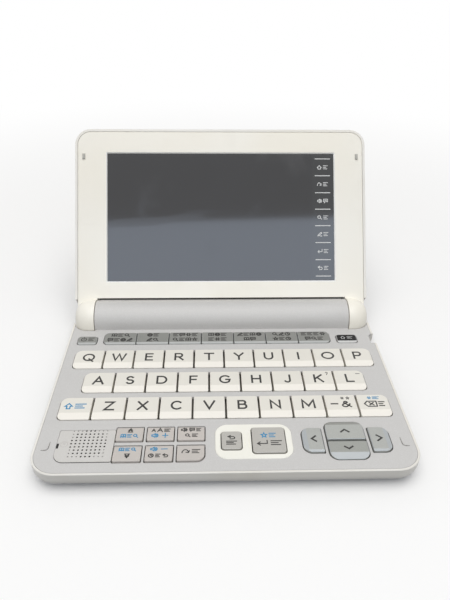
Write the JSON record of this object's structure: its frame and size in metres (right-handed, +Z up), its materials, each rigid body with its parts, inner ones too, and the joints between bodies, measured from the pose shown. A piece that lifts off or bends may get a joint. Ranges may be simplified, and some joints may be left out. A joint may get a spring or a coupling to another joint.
{
  "type": "electronic dictionary",
  "caption": "Pocket electronic dictionary, a clamshell with a sloping keyboard base, a round battery barrel at the hinge and a wide touch display in the lid.",
  "frame": {"origin": "bottom centre of the box round the dictionary standing open", "axes": "+Z up, +Y back from the front edge towards the hinge and lid, X across the width"},
  "size_m": [0.148, 0.155, 0.0883],
  "materials": {
    "white_plastic": "semi-gloss",
    "silver_paint": "satin",
    "ivory_key": "satin",
    "warm_grey_key": "satin",
    "silver_key": "satin",
    "grey_key": "satin",
    "black_key": "gloss",
    "rubber_mat": "matt",
    "board": "solder mask",
    "cell": "wrapped",
    "steel": "bright",
    "foot_rubber": "matt",
    "panel_glass": "gloss",
    "display": "matt"
  },
  "bodies": {
    "base": {"lower_case": "white_plastic", "upper_case": "silver_paint", "enter_surround": "ivory_key", "speaker_grille": "silver_paint", "key_mat": "rubber_mat", "circuit_board": "board", "batteries": "cell", "hinge_pins": "steel", "rubber_feet": "foot_rubber", "case_screws": "steel"},
    "lid": {"lid_cover": "white_plastic", "lid_bezel": "white_plastic", "touch_panel": "panel_glass", "display_module": "display", "lid_bumpers": "foot_rubber"},
    "battery_cover": {"battery_cover": "silver_paint"},
    "key_q": {"key_q": "ivory_key"},
    "key_w": {"key_w": "ivory_key"},
    "key_e": {"key_e": "ivory_key"},
    "key_r": {"key_r": "ivory_key"},
    "key_t": {"key_t": "ivory_key"},
    "key_y": {"key_y": "ivory_key"},
    "key_u": {"key_u": "ivory_key"},
    "key_i": {"key_i": "ivory_key"},
    "key_o": {"key_o": "ivory_key"},
    "key_p": {"key_p": "ivory_key"},
    "key_a": {"key_a": "ivory_key"},
    "key_s": {"key_s": "ivory_key"},
    "key_d": {"key_d": "ivory_key"},
    "key_f": {"key_f": "ivory_key"},
    "key_g": {"key_g": "ivory_key"},
    "key_h": {"key_h": "ivory_key"},
    "key_j": {"key_j": "ivory_key"},
    "key_k": {"key_k": "ivory_key"},
    "key_l": {"key_l": "ivory_key"},
    "key_shift": {"key_shift": "ivory_key"},
    "key_z": {"key_z": "ivory_key"},
    "key_x": {"key_x": "ivory_key"},
    "key_c": {"key_c": "ivory_key"},
    "key_v": {"key_v": "ivory_key"},
    "key_b": {"key_b": "ivory_key"},
    "key_n": {"key_n": "ivory_key"},
    "key_m": {"key_m": "ivory_key"},
    "key_symbol": {"key_symbol": "ivory_key"},
    "key_delete": {"key_delete": "ivory_key"},
    "page_up_key": {"page_up_key": "warm_grey_key"},
    "size_key": {"size_key": "warm_grey_key"},
    "louder_key": {"louder_key": "warm_grey_key"},
    "page_down_key": {"page_down_key": "warm_grey_key"},
    "quieter_key": {"quieter_key": "warm_grey_key"},
    "jump_key": {"jump_key": "warm_grey_key"},
    "back_key": {"back_key": "silver_key"},
    "enter_key": {"enter_key": "silver_key"},
    "cursor_left": {"cursor_left": "silver_key"},
    "cursor_right": {"cursor_right": "silver_key"},
    "cursor_up": {"cursor_up": "silver_key"},
    "cursor_down": {"cursor_down": "silver_key"},
    "function_keys": {"function_keys": "grey_key"},
    "power_key": {"power_key": "grey_key"},
    "home_key": {"home_key": "black_key"}
  },
  "joints": [
    {"name": "lid_hinge", "type": "hinge", "parent": "base", "child": "lid", "pos_m": [0, 0.01856, 0.01], "axis": [-1, 0, 0], "range_deg": [-125.3, 25]},
    {"name": "battery_cover_slide", "type": "slide", "parent": "base", "child": "battery_cover", "axis": [0, -1, 0], "range_m": [-0.012, 0]},
    {"name": "key_q_press", "type": "slide", "parent": "base", "child": "key_q", "axis": [0, 0, 1], "range_m": [-0.0008, 0], "stiffness_N_per_m": 400, "springref_m": 0.0006},
    {"name": "key_w_press", "type": "slide", "parent": "base", "child": "key_w", "axis": [0, 0, 1], "range_m": [-0.0008, 0], "stiffness_N_per_m": 400, "springref_m": 0.0006},
    {"name": "key_e_press", "type": "slide", "parent": "base", "child": "key_e", "axis": [0, 0, 1], "range_m": [-0.0008, 0], "stiffness_N_per_m": 400, "springref_m": 0.0006},
    {"name": "key_r_press", "type": "slide", "parent": "base", "child": "key_r", "axis": [0, 0, 1], "range_m": [-0.0008, 0], "stiffness_N_per_m": 400, "springref_m": 0.0006},
    {"name": "key_t_press", "type": "slide", "parent": "base", "child": "key_t", "axis": [0, 0, 1], "range_m": [-0.0008, 0], "stiffness_N_per_m": 400, "springref_m": 0.0006},
    {"name": "key_y_press", "type": "slide", "parent": "base", "child": "key_y", "axis": [0, 0, 1], "range_m": [-0.0008, 0], "stiffness_N_per_m": 400, "springref_m": 0.0006},
    {"name": "key_u_press", "type": "slide", "parent": "base", "child": "key_u", "axis": [0, 0, 1], "range_m": [-0.0008, 0], "stiffness_N_per_m": 400, "springref_m": 0.0006},
    {"name": "key_i_press", "type": "slide", "parent": "base", "child": "key_i", "axis": [0, 0, 1], "range_m": [-0.0008, 0], "stiffness_N_per_m": 400, "springref_m": 0.0006},
    {"name": "key_o_press", "type": "slide", "parent": "base", "child": "key_o", "axis": [0, 0, 1], "range_m": [-0.0008, 0], "stiffness_N_per_m": 400, "springref_m": 0.0006},
    {"name": "key_p_press", "type": "slide", "parent": "base", "child": "key_p", "axis": [0, 0, 1], "range_m": [-0.0008, 0], "stiffness_N_per_m": 400, "springref_m": 0.0006},
    {"name": "key_a_press", "type": "slide", "parent": "base", "child": "key_a", "axis": [0, 0, 1], "range_m": [-0.0008, 0], "stiffness_N_per_m": 400, "springref_m": 0.0006},
    {"name": "key_s_press", "type": "slide", "parent": "base", "child": "key_s", "axis": [0, 0, 1], "range_m": [-0.0008, 0], "stiffness_N_per_m": 400, "springref_m": 0.0006},
    {"name": "key_d_press", "type": "slide", "parent": "base", "child": "key_d", "axis": [0, 0, 1], "range_m": [-0.0008, 0], "stiffness_N_per_m": 400, "springref_m": 0.0006},
    {"name": "key_f_press", "type": "slide", "parent": "base", "child": "key_f", "axis": [0, 0, 1], "range_m": [-0.0008, 0], "stiffness_N_per_m": 400, "springref_m": 0.0006},
    {"name": "key_g_press", "type": "slide", "parent": "base", "child": "key_g", "axis": [0, 0, 1], "range_m": [-0.0008, 0], "stiffness_N_per_m": 400, "springref_m": 0.0006},
    {"name": "key_h_press", "type": "slide", "parent": "base", "child": "key_h", "axis": [0, 0, 1], "range_m": [-0.0008, 0], "stiffness_N_per_m": 400, "springref_m": 0.0006},
    {"name": "key_j_press", "type": "slide", "parent": "base", "child": "key_j", "axis": [0, 0, 1], "range_m": [-0.0008, 0], "stiffness_N_per_m": 400, "springref_m": 0.0006},
    {"name": "key_k_press", "type": "slide", "parent": "base", "child": "key_k", "axis": [0, 0, 1], "range_m": [-0.0008, 0], "stiffness_N_per_m": 400, "springref_m": 0.0006},
    {"name": "key_l_press", "type": "slide", "parent": "base", "child": "key_l", "axis": [0, 0, 1], "range_m": [-0.0008, 0], "stiffness_N_per_m": 400, "springref_m": 0.0006},
    {"name": "key_shift_press", "type": "slide", "parent": "base", "child": "key_shift", "axis": [0, 0, 1], "range_m": [-0.0008, 0], "stiffness_N_per_m": 400, "springref_m": 0.0006},
    {"name": "key_z_press", "type": "slide", "parent": "base", "child": "key_z", "axis": [0, 0, 1], "range_m": [-0.0008, 0], "stiffness_N_per_m": 400, "springref_m": 0.0006},
    {"name": "key_x_press", "type": "slide", "parent": "base", "child": "key_x", "axis": [0, 0, 1], "range_m": [-0.0008, 0], "stiffness_N_per_m": 400, "springref_m": 0.0006},
    {"name": "key_c_press", "type": "slide", "parent": "base", "child": "key_c", "axis": [0, 0, 1], "range_m": [-0.0008, 0], "stiffness_N_per_m": 400, "springref_m": 0.0006},
    {"name": "key_v_press", "type": "slide", "parent": "base", "child": "key_v", "axis": [0, 0, 1], "range_m": [-0.0008, 0], "stiffness_N_per_m": 400, "springref_m": 0.0006},
    {"name": "key_b_press", "type": "slide", "parent": "base", "child": "key_b", "axis": [0, 0, 1], "range_m": [-0.0008, 0], "stiffness_N_per_m": 400, "springref_m": 0.0006},
    {"name": "key_n_press", "type": "slide", "parent": "base", "child": "key_n", "axis": [0, 0, 1], "range_m": [-0.0008, 0], "stiffness_N_per_m": 400, "springref_m": 0.0006},
    {"name": "key_m_press", "type": "slide", "parent": "base", "child": "key_m", "axis": [0, 0, 1], "range_m": [-0.0008, 0], "stiffness_N_per_m": 400, "springref_m": 0.0006},
    {"name": "key_symbol_press", "type": "slide", "parent": "base", "child": "key_symbol", "axis": [0, 0, 1], "range_m": [-0.0008, 0], "stiffness_N_per_m": 400, "springref_m": 0.0006},
    {"name": "key_delete_press", "type": "slide", "parent": "base", "child": "key_delete", "axis": [0, 0, 1], "range_m": [-0.0008, 0], "stiffness_N_per_m": 400, "springref_m": 0.0006},
    {"name": "page_up_key_press", "type": "slide", "parent": "base", "child": "page_up_key", "axis": [0, 0, 1], "range_m": [-0.0008, 0], "stiffness_N_per_m": 400, "springref_m": 0.0006},
    {"name": "size_key_press", "type": "slide", "parent": "base", "child": "size_key", "axis": [0, 0, 1], "range_m": [-0.0008, 0], "stiffness_N_per_m": 400, "springref_m": 0.0006},
    {"name": "louder_key_press", "type": "slide", "parent": "base", "child": "louder_key", "axis": [0, 0, 1], "range_m": [-0.0008, 0], "stiffness_N_per_m": 400, "springref_m": 0.0006},
    {"name": "page_down_key_press", "type": "slide", "parent": "base", "child": "page_down_key", "axis": [0, 0, 1], "range_m": [-0.0008, 0], "stiffness_N_per_m": 400, "springref_m": 0.0006},
    {"name": "quieter_key_press", "type": "slide", "parent": "base", "child": "quieter_key", "axis": [0, 0, 1], "range_m": [-0.0008, 0], "stiffness_N_per_m": 400, "springref_m": 0.0006},
    {"name": "jump_key_press", "type": "slide", "parent": "base", "child": "jump_key", "axis": [0, 0, 1], "range_m": [-0.0008, 0], "stiffness_N_per_m": 400, "springref_m": 0.0006},
    {"name": "back_key_press", "type": "slide", "parent": "base", "child": "back_key", "axis": [0, 0, 1], "range_m": [-0.0008, 0], "stiffness_N_per_m": 400, "springref_m": 0.0006},
    {"name": "enter_key_press", "type": "slide", "parent": "base", "child": "enter_key", "axis": [0, 0, 1], "range_m": [-0.0008, 0], "stiffness_N_per_m": 400, "springref_m": 0.0006},
    {"name": "cursor_left_press", "type": "slide", "parent": "base", "child": "cursor_left", "axis": [0, 0, 1], "range_m": [-0.0008, 0], "stiffness_N_per_m": 400, "springref_m": 0.0006},
    {"name": "cursor_right_press", "type": "slide", "parent": "base", "child": "cursor_right", "axis": [0, 0, 1], "range_m": [-0.0008, 0], "stiffness_N_per_m": 400, "springref_m": 0.0006},
    {"name": "cursor_up_press", "type": "slide", "parent": "base", "child": "cursor_up", "axis": [0, 0, 1], "range_m": [-0.0008, 0], "stiffness_N_per_m": 400, "springref_m": 0.0006},
    {"name": "cursor_down_press", "type": "slide", "parent": "base", "child": "cursor_down", "axis": [0, 0, 1], "range_m": [-0.0008, 0], "stiffness_N_per_m": 400, "springref_m": 0.0006},
    {"name": "function_keys_press", "type": "slide", "parent": "base", "child": "function_keys", "axis": [0, 0, 1], "range_m": [-0.0008, 0], "stiffness_N_per_m": 400, "springref_m": 0.0006},
    {"name": "power_key_press", "type": "slide", "parent": "base", "child": "power_key", "axis": [0, 0, 1], "range_m": [-0.0008, 0], "stiffness_N_per_m": 400, "springref_m": 0.0006},
    {"name": "home_key_press", "type": "slide", "parent": "base", "child": "home_key", "axis": [0, 0, 1], "range_m": [-0.0008, 0], "stiffness_N_per_m": 400, "springref_m": 0.0006}
  ]
}
